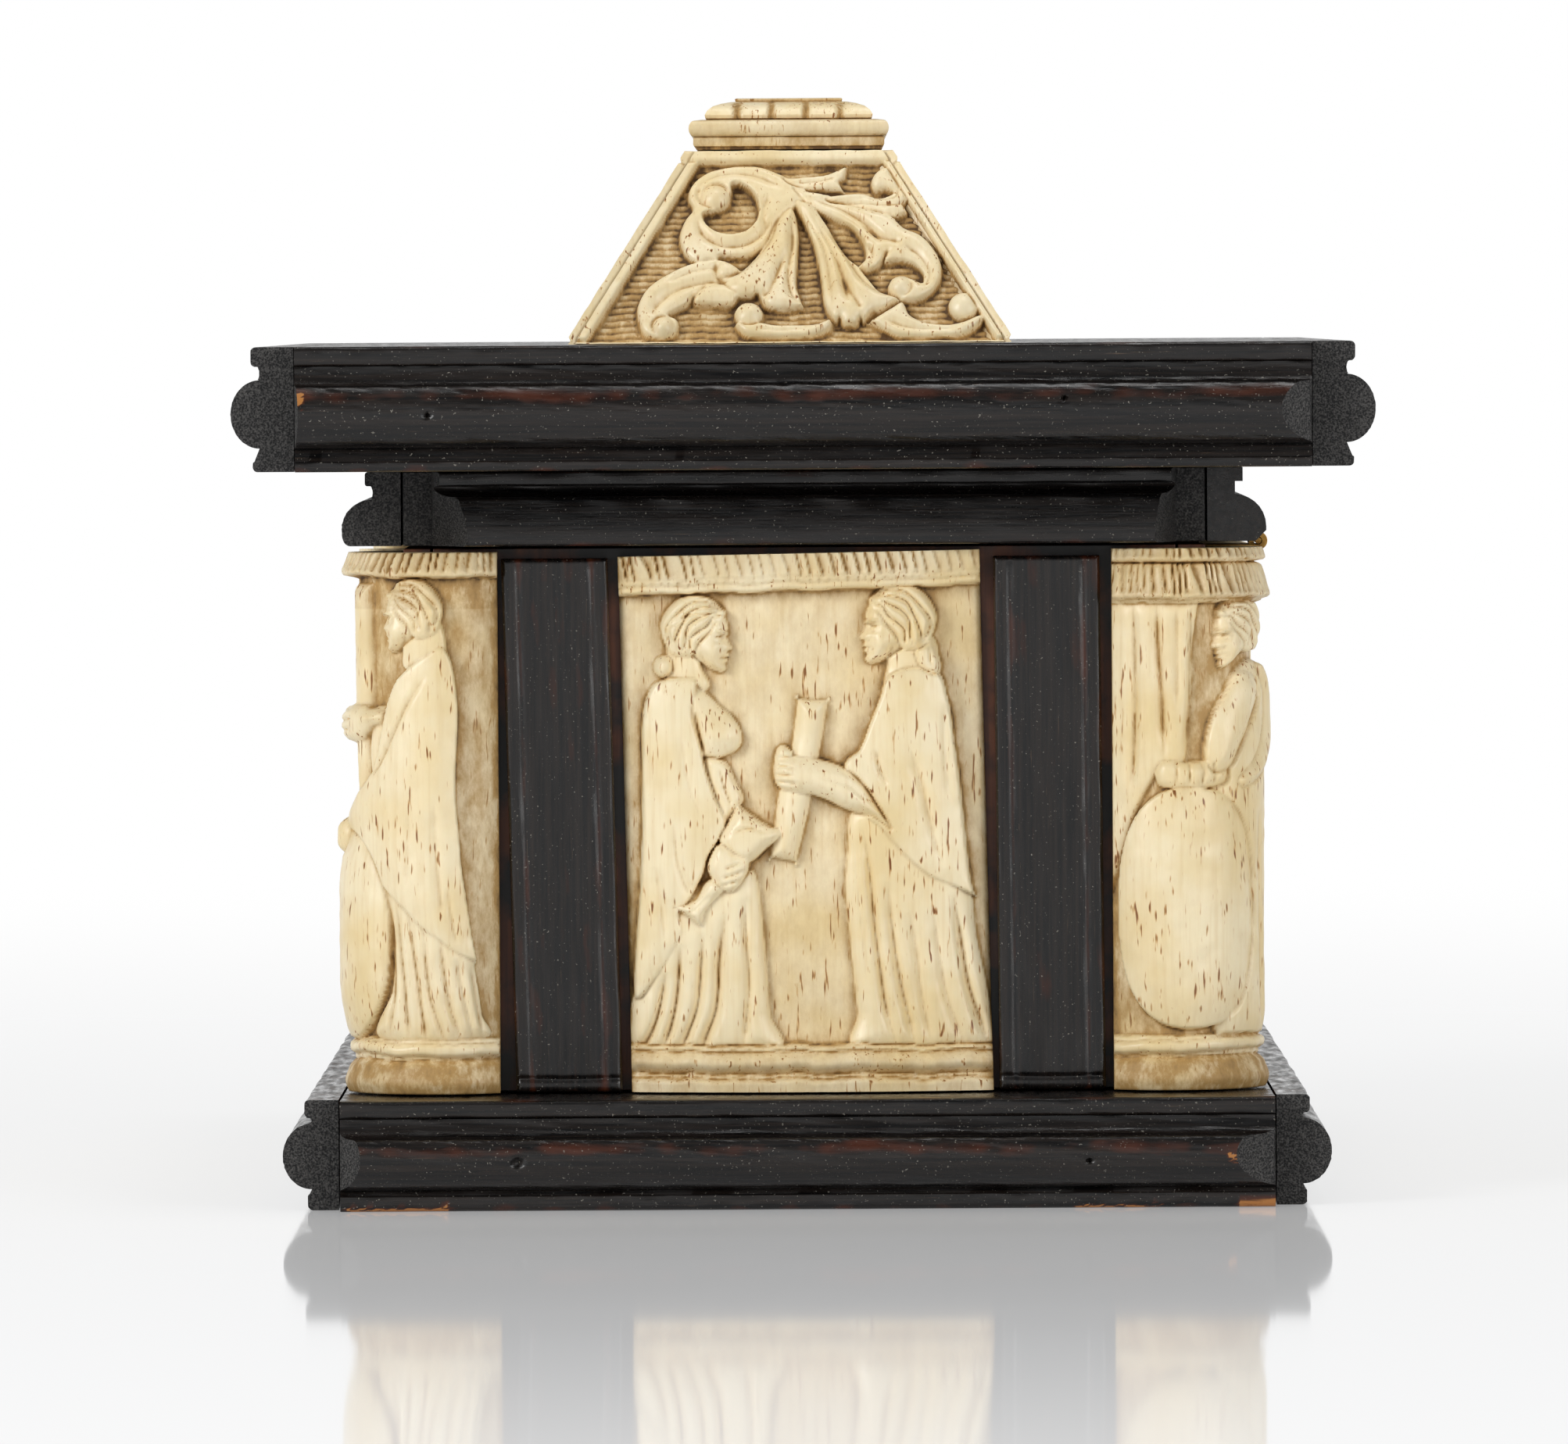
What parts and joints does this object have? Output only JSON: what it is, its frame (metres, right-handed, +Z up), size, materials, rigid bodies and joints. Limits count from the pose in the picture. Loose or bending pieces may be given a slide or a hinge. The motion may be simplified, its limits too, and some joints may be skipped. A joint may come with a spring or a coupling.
{
  "type": "casket",
  "caption": "Oblong wooden casket with ebonised mouldings, carved bone figure plaques and corner columns, and a hinged lid with a carved bone roof.",
  "frame": {"origin": "centre of the underside, where the casket stands", "axes": "+Z up; the end with one figure plaque that the picture shows faces -Y; the lock is on the long side at -X and the hinges on the one at +X"},
  "size_m": [0.1456, 0.2086, 0.1424],
  "materials": {
    "ebonised_wood": "stained black and polished, worn brown on the edges",
    "walnut": "planed, unpolished",
    "bone": "carved and rubbed smooth, darker in the cuts",
    "brass": "aged",
    "iron": "forged, blackened"
  },
  "bodies": {
    "casket": {"base_board": "ebonised_wood", "base_moulding_near": "ebonised_wood", "base_moulding_right": "ebonised_wood", "base_moulding_far": "ebonised_wood", "base_moulding_left": "ebonised_wood", "wall_near": "walnut", "wall_right": "walnut", "wall_far": "walnut", "wall_left": "walnut", "column_near_left": "bone", "column_near_right": "bone", "column_far_left": "bone", "column_far_right": "bone", "pilaster_near_left": "ebonised_wood", "pilaster_near_right": "ebonised_wood", "pilaster_far_left": "ebonised_wood", "pilaster_far_right": "ebonised_wood", "plaque_near": "bone", "plaque_far": "bone", "pilaster_left_near": "ebonised_wood", "pilaster_left_middle": "ebonised_wood", "pilaster_left_far": "ebonised_wood", "plaque_left_near": "bone", "plaque_left_far": "bone", "pilaster_right_near": "ebonised_wood", "pilaster_right_middle": "ebonised_wood", "pilaster_right_far": "ebonised_wood", "plaque_right_near": "bone", "plaque_right_far": "bone", "hinge_near_wall_leaf": "brass", "hinge_near_pin": "brass", "hinge_far_wall_leaf": "brass", "hinge_far_pin": "brass", "lock_case": "iron", "keyhole_plate": "brass"},
    "lid": {"frieze_board": "walnut", "frieze_moulding_near": "ebonised_wood", "frieze_moulding_right": "ebonised_wood", "frieze_moulding_far": "ebonised_wood", "frieze_moulding_left": "ebonised_wood", "lid_board": "ebonised_wood", "cornice_near": "ebonised_wood", "cornice_right": "ebonised_wood", "cornice_far": "ebonised_wood", "cornice_left": "ebonised_wood", "roof_core": "walnut", "roof_panel_near": "bone", "roof_panel_right": "bone", "roof_panel_far": "bone", "roof_panel_left": "bone", "cap_moulding": "bone", "cap_crest": "bone", "hinge_near_lid_leaf": "brass", "hinge_far_lid_leaf": "brass", "lid_staple": "iron"},
    "bolt": {"lock_bolt": "iron"}
  },
  "joints": [
    {"name": "lid_hinge", "type": "hinge", "parent": "casket", "child": "lid", "pos_m": [0.0588, 0, 0.0844], "axis": [0, 1, 0], "range_deg": [0, 100]},
    {"name": "bolt_slide", "type": "slide", "parent": "casket", "child": "bolt", "axis": [0, 1, 0], "range_m": [0, 0.004]}
  ]
}
